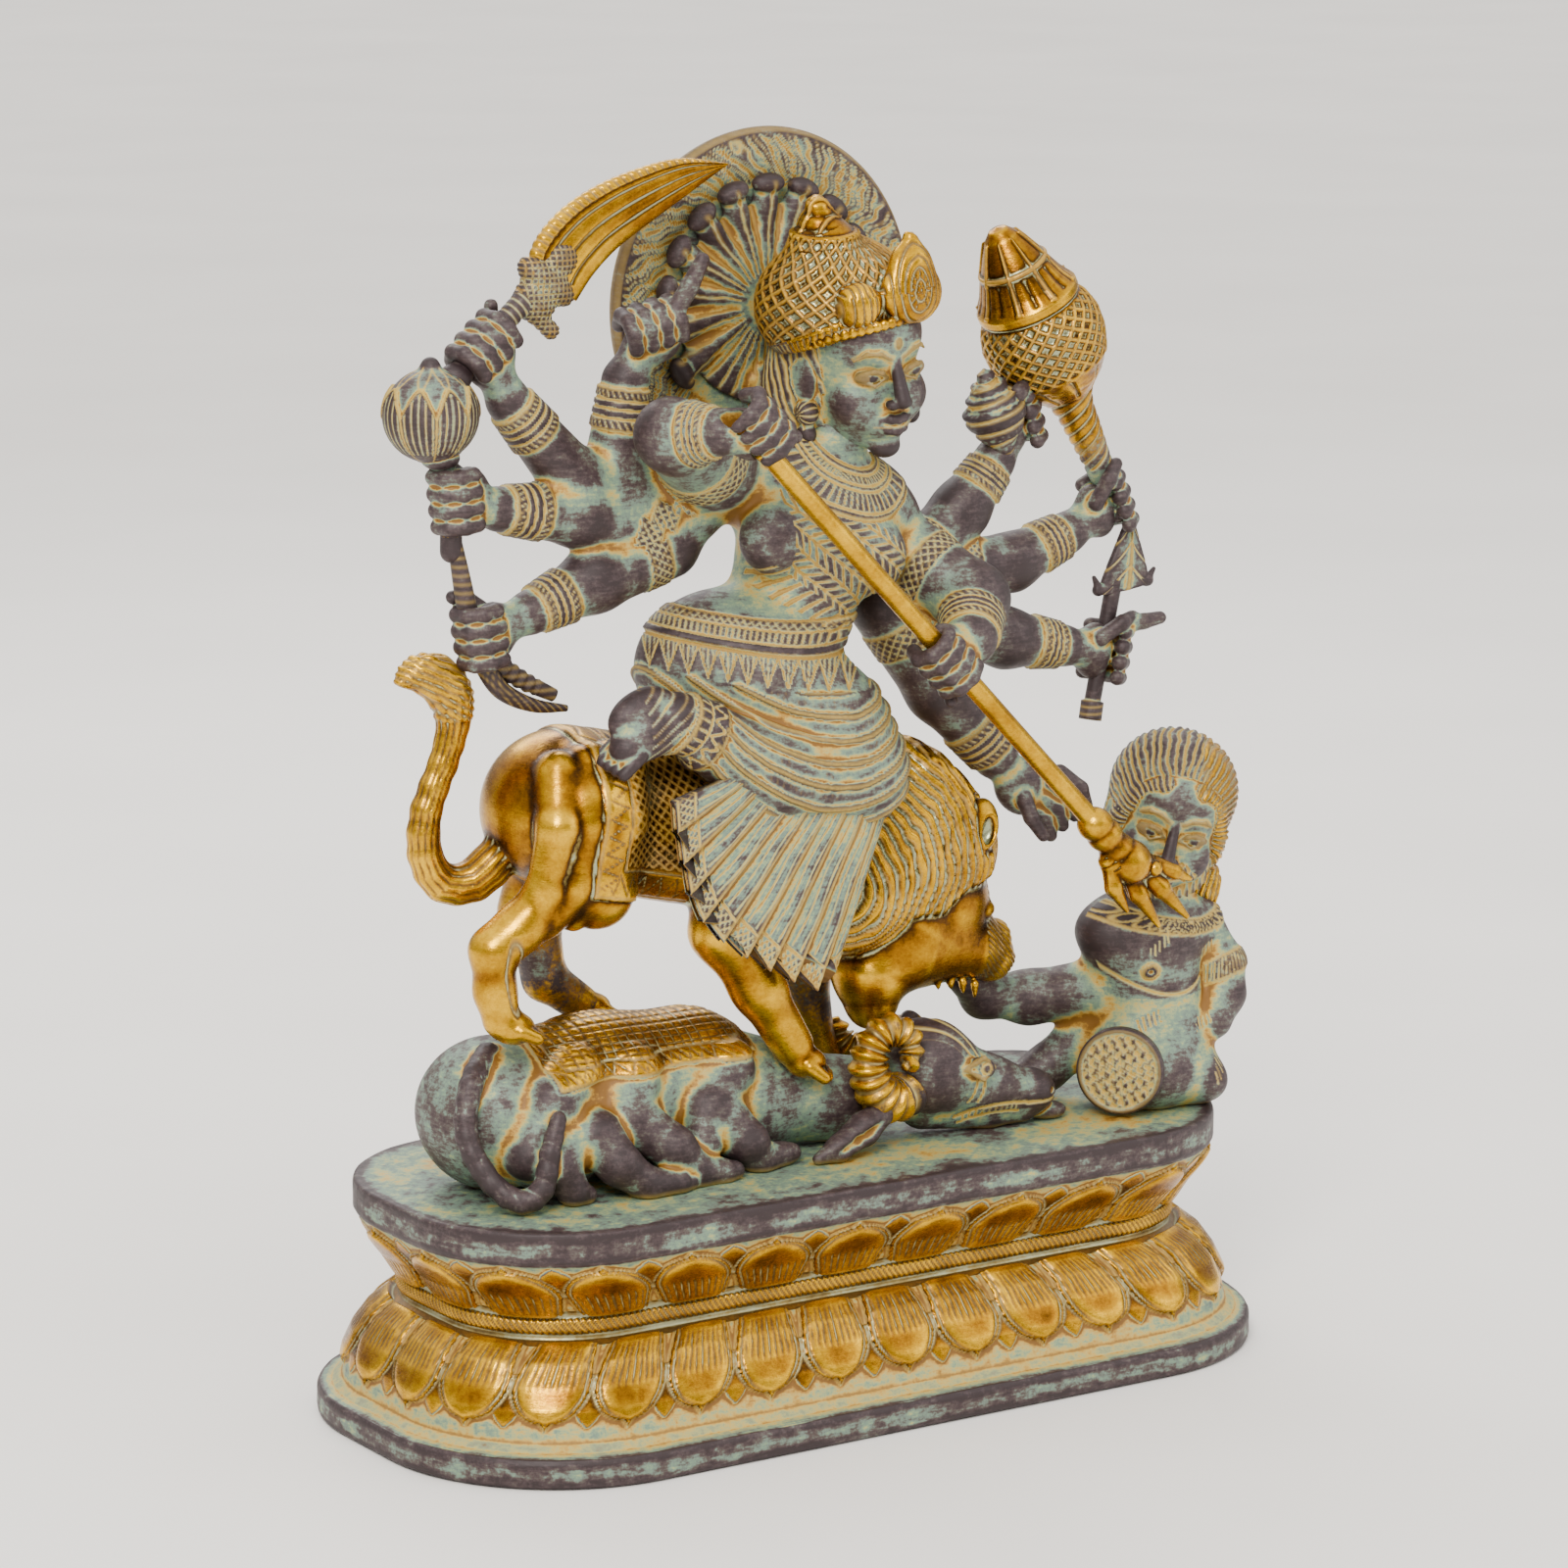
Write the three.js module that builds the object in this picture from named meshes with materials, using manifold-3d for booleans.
// A cast brass temple statue: a ten-armed goddess seated on a lion, the lion standing over a
// fallen buffalo, and a kneeling demon at the end of an oval lotus plinth.
// Millimetres. +X runs along the plinth towards the demon, -Y is the front, +Z is up.
// The origin is the centre of the plinth's underside.
import * as THREE from 'three';
import Module from 'manifold-3d';
import { mergeVertices } from 'three/addons/utils/BufferGeometryUtils.js';

const wasm = await Module();
wasm.setup();

// Driving dimensions
const FOOT_LENGTH = 416;
const FOOT_WIDTH = 203;
const FOOT_RIM = 12.6;
const SLAB_LENGTH = 387;
const SLAB_WIDTH = 167;
const SLAB_TOP = 101.3;
const SLAB_RIM = 13;
const PLINTH_WALL = 5;
const CORNER_SHARE = 0.8;
const GAP = 0.3;
const CLOTH_THICKNESS = 2.5;
const SHAFT_RADIUS = 4.4;
const BORE_CLEARANCE = 0.6;
const HALO_RADIUS = 72;
const HALO_THICKNESS = 9;
const SCREW_RADIUS = 2.5;
const SCREW_HEAD_RADIUS = 5;
const WASHER_RADIUS = 7.5;

// Trident axis: from the butt end in the upper fist to the collar of the head
const TRIDENT_BUTT = [-53, -60, 407];
const TRIDENT_COLLAR = [117, -60, 230];

const patina = new THREE.MeshStandardMaterial({ color: 0x7f9c90, roughness: 0.6, metalness: 0.5 });
const gilt = new THREE.MeshStandardMaterial({ color: 0xc08a2c, roughness: 0.35, metalness: 0.9 });
const brass = new THREE.MeshStandardMaterial({ color: 0xb08d4a, roughness: 0.4, metalness: 0.9 });

// ---- Geometry to solid and back ----

function solid(geometry) {
  geometry.deleteAttribute('normal');
  geometry.deleteAttribute('uv');
  const merged = mergeVertices(geometry, 1e-4);
  const triangles = [];
  const index = merged.index.array;
  for (let i = 0; i < index.length; i += 3) {
    const [a, b, c] = [index[i], index[i + 1], index[i + 2]];
    if (a !== b && b !== c && c !== a) triangles.push(a, b, c);
  }
  return new wasm.Manifold(new wasm.Mesh({
    numProp: 3,
    vertProperties: new Float32Array(merged.attributes.position.array),
    triVerts: new Uint32Array(triangles),
  }));
}

function geometryOf(body) {
  const mesh = body.getMesh();
  const geometry = new THREE.BufferGeometry();
  geometry.setAttribute('position', new THREE.BufferAttribute(mesh.vertProperties, 3));
  geometry.setIndex(new THREE.BufferAttribute(mesh.triVerts, 1));
  geometry.computeVertexNormals();
  return geometry;
}

function join(bodies) {
  return bodies.reduce((whole, body) => whole.add(body));
}

// ---- Primitives; each takes the amount by which it is grown outwards ----

const vec = (p) => new THREE.Vector3(p[0], p[1], p[2]);

// Rings of points, each the same number of points, skinned into one closed body
function lofted(rings) {
  const count = rings[0].length;
  const positions = rings.flat(2);
  const index = [];
  for (let level = 0; level < rings.length - 1; level += 1) {
    for (let i = 0; i < count; i += 1) {
      const a = level * count + i;
      const b = level * count + ((i + 1) % count);
      index.push(a, b, b + count, a, b + count, a + count);
    }
  }
  const top = (rings.length - 1) * count;
  for (let i = 1; i < count - 1; i += 1) {
    index.push(0, i + 1, i);
    index.push(top, top + i, top + i + 1);
  }
  const geometry = new THREE.BufferGeometry();
  geometry.setAttribute('position', new THREE.BufferAttribute(new Float32Array(positions), 3));
  geometry.setIndex(index);
  geometry.computeVertexNormals();
  return solid(geometry);
}

// One round limb bending through points [x, y, z, radius], with a domed end at each side
function chain(points, sides = 7) {
  return (grow) => {
    const centres = points.map(vec);
    const last = centres.length - 1;
    const headings = centres.map((_, i) => {
      const from = centres[Math.max(i - 1, 0)];
      const to = centres[Math.min(i + 1, last)];
      return to.clone().sub(from).normalize();
    });
    const stations = centres.map((centre, i) => [centre, points[i][3] + grow, headings[i]]);
    const dome = (i, side) => {
      const radius = points[i][3] + grow;
      const centre = centres[i].clone().addScaledVector(headings[i], side * radius * 0.7);
      return [centre, radius * 0.6, headings[i]];
    };
    const all = [dome(0, -1), ...stations, dome(last, 1)];
    let across = new THREE.Vector3(0, 0, 1).cross(headings[0]);
    if (across.length() < 0.1) across = new THREE.Vector3(1, 0, 0);
    const rings = all.map(([centre, radius, heading]) => {
      across = across.addScaledVector(heading, -across.dot(heading)).normalize();
      const other = heading.clone().cross(across);
      return Array.from({ length: sides }, (_, k) => {
        const angle = (2 * Math.PI * k) / sides;
        const point = centre.clone().addScaledVector(across, radius * Math.cos(angle));
        return point.addScaledVector(other, radius * Math.sin(angle)).toArray();
      });
    });
    return lofted(rings);
  };
}

// A straight round limb between two points [x, y, z, radius]
function limb(a, b, sides = 7) {
  return chain([a, b], sides);
}

// A rounded lump, optionally tilted about Y by an angle in degrees
function lump(centre, radii, tilt = 0, around = 9, down = 5) {
  return (grow) => {
    const geometry = new THREE.SphereGeometry(1, around, down);
    geometry.rotateX(Math.PI / 2);
    geometry.scale(radii[0] + grow, radii[1] + grow, radii[2] + grow);
    geometry.rotateY(THREE.MathUtils.degToRad(tilt));
    geometry.translate(centre[0], centre[1], centre[2]);
    return solid(geometry);
  };
}

// A turned piece: profile pairs (radius, distance along the axis), standing at base towards tip
function turned(profile, base, tip, sides = 12) {
  return (grow) => {
    const last = profile.length - 1;
    const points = profile.map(([r, t], i) => {
      const end = i === 0 ? -grow : (i === last ? grow : 0);
      return new THREE.Vector2(r > 0 ? r + grow : 0, t + end);
    });
    const geometry = new THREE.LatheGeometry(points, sides);
    const turn = new THREE.Quaternion();
    turn.setFromUnitVectors(new THREE.Vector3(0, 1, 0), vec(tip).sub(vec(base)).normalize());
    geometry.applyQuaternion(turn);
    geometry.translate(base[0], base[1], base[2]);
    return solid(geometry);
  };
}

// A flat plate cut to an outline of (x, z) pairs, standing between two depths in Y
function plate(outline, front, back) {
  return (grow) => {
    const cx = outline.reduce((s, p) => s + p[0], 0) / outline.length;
    const cz = outline.reduce((s, p) => s + p[1], 0) / outline.length;
    const points = outline.map(([x, z]) => {
      const reach = Math.hypot(x - cx, z - cz);
      const scale = 1 + (1.6 * grow) / reach;
      return new THREE.Vector2(cx + (x - cx) * scale, cz + (z - cz) * scale);
    });
    const depth = back - front + 2 * grow;
    const geometry = new THREE.ExtrudeGeometry(new THREE.Shape(points), {
      depth,
      bevelEnabled: false,
      steps: 1,
    });
    geometry.rotateX(Math.PI / 2);
    geometry.translate(0, back + grow, 0);
    return solid(geometry);
  };
}

function all(...shapes) {
  return (grow) => join(shapes.map((shape) => shape(grow)));
}

// A cloth of CLOTH_THICKNESS lying on a body, within the bounds of a block
function draped(body, block) {
  return (grow) => body(CLOTH_THICKNESS + grow).intersect(block(grow));
}

// A point at a distance along the line from a to b
function along(a, b, distance) {
  const step = vec(b).sub(vec(a)).normalize().multiplyScalar(distance);
  return vec(a).add(step).toArray();
}

// ---- Plinth ----

// One level of the plinth: a rounded rectangle of points, anticlockwise seen from above
function ring(length, width, z, perCorner = 5) {
  const radius = (width / 2) * CORNER_SHARE;
  const points = [];
  const centres = [[1, 1], [-1, 1], [-1, -1], [1, -1]];
  centres.forEach(([sx, sy], quarter) => {
    for (let i = 0; i <= perCorner; i += 1) {
      const angle = (quarter + i / perCorner) * (Math.PI / 2);
      const x = sx * (length / 2 - radius) + radius * Math.cos(angle);
      const y = sy * (width / 2 - radius) + radius * Math.sin(angle);
      points.push([x, y, z]);
    }
  });
  return points;
}

// Lengths, widths and heights of the plinth's levels, from the foot to the slab
const LEVELS = [
  [FOOT_LENGTH, FOOT_WIDTH, 0],
  [FOOT_LENGTH, FOOT_WIDTH, FOOT_RIM],
  [396, 178, 18],
  [393, 173, 27],
  [376, 154, 44],
  [352, 132, 52],
  [349, 129, 59],
  [356, 136, 66],
  [SLAB_LENGTH - 4, SLAB_WIDTH - 4, 86],
  [SLAB_LENGTH, SLAB_WIDTH, SLAB_TOP - SLAB_RIM],
  [SLAB_LENGTH, SLAB_WIDTH, SLAB_TOP],
];

function plinthSolid() {
  const outside = lofted(LEVELS.map(([l, w, z]) => ring(l, w, z)));
  const wall = 2 * PLINTH_WALL;
  const ceiling = SLAB_TOP - PLINTH_WALL - 1;
  const hollow = lofted([
    ring(FOOT_LENGTH - wall - 16, FOOT_WIDTH - wall - 16, -1),
    ring(FOOT_LENGTH - wall - 16, FOOT_WIDTH - wall - 16, 10),
    ring(376 - wall - 8, 154 - wall - 8, 38),
    ring(349 - wall, 129 - wall, 52),
    ring(349 - wall, 129 - wall, ceiling),
  ]);
  return outside.subtract(hollow);
}

// The plinth is cast in two: a foot ring, and the case with the petals that stands on it
const FOOT_JOINT = 11;

function slice(low, high) {
  const block = new THREE.BoxGeometry(600, 400, high - low);
  return solid(block.translate(0, 0, (low + high) / 2));
}

function plinthFoot() {
  return plinthSolid().intersect(slice(-1, FOOT_JOINT));
}

function plinthCase() {
  return plinthSolid().intersect(slice(FOOT_JOINT + GAP, 200));
}

// ---- Fixings under the slab: a screw up into each figure, with a washer under its head ----

const SCREW_PLACES = [[-120, 5], [-55, 5], [150, -24]];
const SLAB_UNDERSIDE = SLAB_TOP - PLINTH_WALL - 1;
const WASHER_THICKNESS = 1.5;
const SCREW_REACH = 112;

function screw([x, y]) {
  const head = SLAB_UNDERSIDE - GAP - WASHER_THICKNESS - GAP;
  const profile = [
    [0, head - 4],
    [SCREW_HEAD_RADIUS, head - 4],
    [SCREW_HEAD_RADIUS, head],
    [SCREW_RADIUS, head],
    [SCREW_RADIUS, SCREW_REACH],
    [0, SCREW_REACH],
  ];
  return turned(profile, [x, y, 0], [x, y, 1], 12);
}

function washer([x, y]) {
  const low = SLAB_UNDERSIDE - GAP - WASHER_THICKNESS;
  const profile = [
    [0, low],
    [WASHER_RADIUS, low],
    [WASHER_RADIUS, low + WASHER_THICKNESS],
    [0, low + WASHER_THICKNESS],
  ];
  return turned(profile, [x, y, 0], [x, y, 1], 16);
}

// ---- Trident ----

const tridentShaft = limb([...TRIDENT_BUTT, SHAFT_RADIUS], [...TRIDENT_COLLAR, SHAFT_RADIUS], 16);
const tridentBore = limb(
  [...along(TRIDENT_BUTT, TRIDENT_COLLAR, -30), SHAFT_RADIUS + BORE_CLEARANCE],
  [...TRIDENT_COLLAR, SHAFT_RADIUS + BORE_CLEARANCE],
  16,
);
const tridentHead = all(
  limb([...along(TRIDENT_BUTT, TRIDENT_COLLAR, 241), 7], [132, -60, 214, 8.5], 10),
  limb([128, -60, 210, 6], [150, -60, 210, 6]),
  limb([131, -60, 212, 4.5], [135, -60, 196, 2.5]),
  limb([138, -60, 211, 5], [146, -60, 192, 2.5]),
  limb([144, -60, 211, 5], [162, -60, 195, 2.5]),
  limb([148, -60, 213, 4.5], [155, -60, 211, 2.5]),
);

// ---- Things held in the hands ----

const sword = all(
  limb([-149, 6, 443, 4.5], [-118, 10, 468, 4.5]),
  limb([-118, 10, 468, 4.5], [-110, 10, 453, 4.5]),
  plate([[-124, 468], [-114, 458], [-96, 474], [-104, 485]], 3, 17),
  plate(
    [[-103, 472], [-95, 482], [-82, 491], [-62, 500], [-26, 513], [-52, 516], [-80, 512],
      [-100, 502], [-114, 492], [-118, 476]],
    6, 14,
  ),
);
const lotusBud = all(
  lump([-168, 6, 422], [18, 17, 18]),
  limb([-160, 6, 408, 4], [-160, 5, 368, 4]),
);
const bow = chain(
  [[-157, 4, 366, 3], [-153, 4, 336, 3.5], [-138, 3, 318, 5], [-124, 3, 308, 4], [-110, 3, 301, 1.5]],
  6,
);
const conch = turned(
  [[0, 0], [5, 5], [11, 14], [12, 22], [8, 30], [0, 36]], [108, 2, 384], [98, 2, 418], 10,
);
const MACE_BASE = [168, 6, 350];
const MACE_NECK = [145, 6, 405];
const maceHead = turned(
  [[0, 0], [9, 1], [23, 18], [26, 34], [22, 46], [22, 50], [14, 66], [6, 80], [0, 84]],
  MACE_NECK, [104, 6, 484], 12,
);
const mace = all(
  limb([...MACE_BASE, 4.5], [158, 6, 378, 5]),
  limb([158, 6, 378, 5], [...MACE_NECK, 9]),
  maceHead,
);
const arrow = all(
  limb([157, 5, 265, 3.5], [169, 5, 322, 3.5]),
  plate([[158, 328], [168, 320], [170, 324], [174, 320], [188, 324], [177, 352]], 1, 9),
);

// ---- Arms: shoulder, elbow and wrist, and the closed fist at the end ----

function arm(points, fist, radii = [12, 13, 12]) {
  return all(chain([...points, [...fist, 8]]), lump(fist, radii));
}

const arms = {
  arm_pointing: all(
    arm([[-40, 10, 376, 16], [-80, 12, 390, 12], [-74, 10, 430, 9]], [-63, 6, 452]),
    limb([-56, 5, 458, 4], [-46, 5, 476, 3.5]),
  ),
  arm_sword: arm([[-50, 10, 366, 14], [-98, 11, 390, 12], [-132, 8, 426, 9]], [-145, 7, 447]),
  arm_bud: arm([[-60, 10, 363, 13], [-98, 9, 376, 12], [-136, 6, 381, 9]], [-157, 5, 387]),
  arm_bow: arm([[-58, 8, 358, 13], [-92, 7, 349, 12], [-122, 5, 338, 9]], [-147, 4, 331]),
  arm_trident_upper: arm([[-50, -5, 400, 19], [-76, -36, 410, 15], [-66, -54, 415, 11]], [-56, -59, 417]),
  arm_conch: arm([[72, 8, 344, 13], [92, 8, 362, 11], [105, 7, 380, 9]], [118, 6, 398]),
  arm_mace: arm([[78, 8, 334, 13], [122, 8, 337, 11], [145, 7, 345, 9]], [166, 6, 358]),
  arm_arrow: arm([[76, 8, 318, 14], [118, 6, 304, 12], [142, 5, 297, 9]], [166, 5, 293]),
  arm_trident_lower: arm([[58, -6, 345, 16], [68, -30, 330, 14], [52, -52, 318, 12]], [36, -58, 312]),
  arm_demon: arm(
    [[50, -2, 325, 17], [70, -6, 285, 14], [96, -10, 256, 10]], [112, -12, 240], [10, 9, 12],
  ),
};

// ---- Goddess ----

const halo = turned(
  [[0, 0], [HALO_RADIUS * 0.7, 0], [HALO_RADIUS, 2], [HALO_RADIUS, HALO_THICKNESS - 2],
    [HALO_RADIUS * 0.95, HALO_THICKNESS], [0, HALO_THICKNESS]],
  [8, 44, 452], [8, 43, 452], 36,
);
const haloStay = limb([8, 20, 400, 10], [8, 40, 420, 10]);
const crown = all(
  lump([16, 2, 446], [34, 30, 22]),
  turned([[0, 0], [26, 0], [22, 18], [12, 36], [4, 44], [0, 46]], [14, 8, 448], [16, 9, 493], 12),
  lump([38, -12, 466], [14, 12, 20]),
);
const goddessHead = all(
  lump([19, -5, 428], [24, 28, 35]),
  limb([-10, 4, 420, 8], [-6, 8, 400, 7]),
);
const goddessTorso = all(
  limb([-4, -2, 326, 25], [8, 0, 366, 33], 12),
  lump([12, 0, 372], [54, 22, 28], 20),
  lump([-24, -22, 362], [15, 15, 15]),
  lump([22, -24, 350], [15, 15, 15]),
  limb([14, -2, 385, 15], [18, -4, 406, 12]),
);
const goddessFoot = chain([[-72, -38, 296, 11], [-98, -37, 288, 9], [-111, -38, 276, 7]]);
const goddessSkirt = all(
  lump([-28, 0, 307], [46, 32, 36]),
  chain([[-24, -12, 300, 32], [6, -28, 268, 24]], 10),
  chain([[8, -32, 262, 20], [-34, -36, 272, 20], [-66, -37, 290, 14]], 10),
);
const goddessPleats = plate(
  [[-62, 268], [-66, 254], [-60, 225], [-50, 210], [-6, 184], [2, 200], [28, 254], [20, 264]],
  -50, -34,
);

// ---- Lion ----

const lionTail = chain(
  [[-140, 6, 240, 9], [-150, 10, 229, 8], [-166, 11, 234, 7], [-171, 12, 254, 6.5],
    [-162, 12, 276, 6], [-155, 12, 296, 6], [-160, 12, 312, 8], [-172, 12, 318, 6]],
);
const lionHead = all(
  lump([46, -2, 224], [46, 34, 44], 30),
  limb([58, 0, 198, 27], [92, -2, 174, 17], 10),
  limb([40, -6, 168, 15], [56, -6, 160, 8]),
);
const lionTrunk = chain([[-112, 2, 256, 33], [-60, 0, 243, 34], [-8, 0, 232, 40]], 12);
const lionSaddle = draped(lionTrunk, plate([[-112, 215], [-50, 205], [-46, 290], [-106, 296]], -44, 44));
const lionLegs = {
  lion_hind_near: all(
    limb([-114, -17, 254, 25], [-113, -22, 228, 17]),
    chain([[-116, -22, 226, 14], [-140, -22, 219, 11], [-156, -22, 208, 10], [-154, -21, 186, 8.5]]),
    limb([-154, -21, 182, 8.5], [-143, -22, 176, 9]),
  ),
  lion_hind_far: all(
    chain([[-108, 20, 240, 22], [-118, 27, 208, 12], [-108, 29, 176, 9]]),
    limb([-106, 29, 173, 9], [-90, 29, 171, 8]),
  ),
  lion_fore_near: all(
    limb([-38, -18, 226, 20], [-50, -23, 203, 14]),
    chain([[-50, -24, 202, 13], [-26, -26, 160, 9.5], [-14, -27, 141, 11]]),
  ),
  lion_fore_far: chain([[0, 16, 208, 18], [20, 22, 168, 10], [26, 22, 122, 9], [32, 18, 111, 9]]),
};

// ---- Buffalo ----

function horn(y, depth) {
  return chain(
    [[52, y, 131, 9], [36, y - 4, 120, 9], [20, y - 5, 124, 8.5], [17, y - 5, 140, 8],
      [26, y - 4, 152, 7], [38, y - 4, 152, 6], [43, y - 4 - depth, 142, 4.5]],
  );
}

const hornNear = horn(-18, 4);
const hornFar = chain([[60, 6, 134, 8], [52, 18, 124, 7.5], [40, 26, 130, 6.5], [38, 28, 142, 4]]);
const buffaloHead = all(
  limb([48, -22, 126, 23], [93, -31, 114, 12], 10),
  limb([50, -24, 112, 10], [92, -34, 107, 6]),
  lump([106, -34, 104], [11, 7, 5]),
);
const buffaloEar = chain([[22, -38, 118, 5], [6, -40, 111, 8], [-16, -40, 105, 3.5]]);
const buffaloTail = chain([[-158, 12, 152, 4], [-156, -12, 136, 4], [-136, -31, 110, 4], [-112, -40, 130, 4]]);
const buffaloTrunk = limb([-140, 2, 133, 33], [-52, 2, 133, 33], 14);
const buffaloBody = all(
  buffaloTrunk,
  limb([-52, 0, 130, 31], [-12, -4, 122, 22], 12),
  chain([[-128, -20, 122, 22], [-106, -36, 114, 13], [-78, -42, 108, 7]]),
  chain([[-36, -22, 120, 20], [-44, -36, 110, 9], [-28, -38, 108, 7]]),
);
const buffaloBlanket = draped(buffaloTrunk, plate([[-130, 145], [-52, 145], [-52, 172], [-130, 172]], -40, 44));

// ---- Demon ----

const demonDisc = turned(
  [[0, 0], [17, 0], [19, 2], [19, 7], [0, 7]], [137, -52, 122], [137.6, -51, 122.1], 20,
);
const demonHead = all(
  lump([176, -28, 222], [25, 25, 35]),
  limb([199, -24, 208, 9], [199, -24, 184, 9]),
);
const demonBitten = chain([[150, -20, 150, 15], [122, 4, 146, 12], [98, 6, 148, 10], [84, 2, 158, 8]]);
const demonArm = chain([[190, -30, 170, 14], [197, -38, 146, 10], [186, -44, 138, 7]]);
const demonBody = all(
  limb([168, -26, 130, 27], [166, -25, 168, 25], 12),
  limb([172, -26, 180, 16], [174, -26, 196, 13]),
  lump([162, -30, 120], [30, 30, 19]),
  limb([150, -16, 124, 13], [128, -2, 112, 9]),
);

// ---- Assembly: each piece is cut clear of the pieces listed before it ----

const pieces = [
  ...SCREW_PLACES.map((place, i) => ({ name: `fixing_screw_${i + 1}`, shape: screw(place), material: brass })),
  ...SCREW_PLACES.map((place, i) => ({ name: `fixing_washer_${i + 1}`, shape: washer(place), material: brass })),
  { name: 'trident_shaft', shape: tridentShaft, material: gilt },
  { name: 'trident_head', shape: tridentHead, material: gilt },
  { name: 'sword', shape: sword, material: gilt },
  { name: 'lotus_bud', shape: lotusBud, material: patina },
  { name: 'bow', shape: bow, material: patina },
  { name: 'conch', shape: conch, material: patina },
  { name: 'mace', shape: mace, material: gilt },
  { name: 'arrow', shape: arrow, material: patina },
  ...Object.entries(arms).map(([name, shape]) => ({ name, shape, material: patina })),
  { name: 'goddess_crown', shape: crown, material: gilt },
  { name: 'goddess_head', shape: goddessHead, material: patina },
  { name: 'halo', shape: all(halo, haloStay), material: patina },
  { name: 'goddess_torso', shape: goddessTorso, material: patina },
  { name: 'goddess_foot', shape: goddessFoot, material: patina },
  { name: 'goddess_skirt', shape: goddessSkirt, material: patina },
  { name: 'goddess_pleats', shape: goddessPleats, material: patina },
  { name: 'lion_tail', shape: lionTail, material: gilt },
  { name: 'lion_head', shape: lionHead, material: gilt },
  ...Object.entries(lionLegs).map(([name, shape]) => ({ name, shape, material: gilt })),
  { name: 'lion_body', shape: lionTrunk, material: gilt },
  { name: 'lion_saddle', shape: lionSaddle, material: gilt },
  { name: 'buffalo_horn_near', shape: hornNear, material: gilt },
  { name: 'buffalo_horn_far', shape: hornFar, material: gilt },
  { name: 'buffalo_ear', shape: buffaloEar, material: patina },
  { name: 'buffalo_head', shape: buffaloHead, material: patina },
  { name: 'buffalo_tail', shape: buffaloTail, material: patina },
  { name: 'buffalo_body', shape: buffaloBody, material: patina },
  { name: 'buffalo_blanket', shape: buffaloBlanket, material: gilt },
  { name: 'demon_shield', shape: demonDisc, material: patina },
  { name: 'demon_head', shape: demonHead, material: patina },
  { name: 'demon_arm_bitten', shape: demonBitten, material: patina },
  { name: 'demon_arm', shape: demonArm, material: patina },
  { name: 'demon_body', shape: demonBody, material: patina },
  { name: 'plinth_foot', shape: plinthFoot, material: patina },
  { name: 'plinth', shape: plinthCase, material: patina },
];

function boxesMeet(a, b) {
  return [0, 1, 2].every((k) => a.min[k] < b.max[k] && b.min[k] < a.max[k]);
}

function largest(body) {
  return body.decompose().sort((p, q) => q.volume() - p.volume())[0];
}

const aboveSlab = solid(new THREE.BoxGeometry(600, 400, 500).translate(0, 0, SLAB_TOP + GAP + 250));
const shaftRoom = tridentBore(0);
const moving = new Set(['trident_shaft', 'trident_head']);
const statue = new THREE.Group();
const earlier = [];

for (const piece of pieces) {
  const fixing = piece.name.startsWith('fixing_');
  let body = piece.shape(0);
  const base = piece.name.startsWith('plinth');
  if (!fixing && !base) body = body.intersect(aboveSlab);
  for (const other of earlier) {
    if (boxesMeet(body.boundingBox(), other.boundingBox())) body = body.subtract(other);
  }
  if (!moving.has(piece.name)) body = body.subtract(shaftRoom);
  const mesh = new THREE.Mesh(geometryOf(largest(body)), piece.material);
  mesh.name = piece.name;
  statue.add(mesh);
  if (!base) earlier.push(piece.shape(GAP));
}

export default statue;
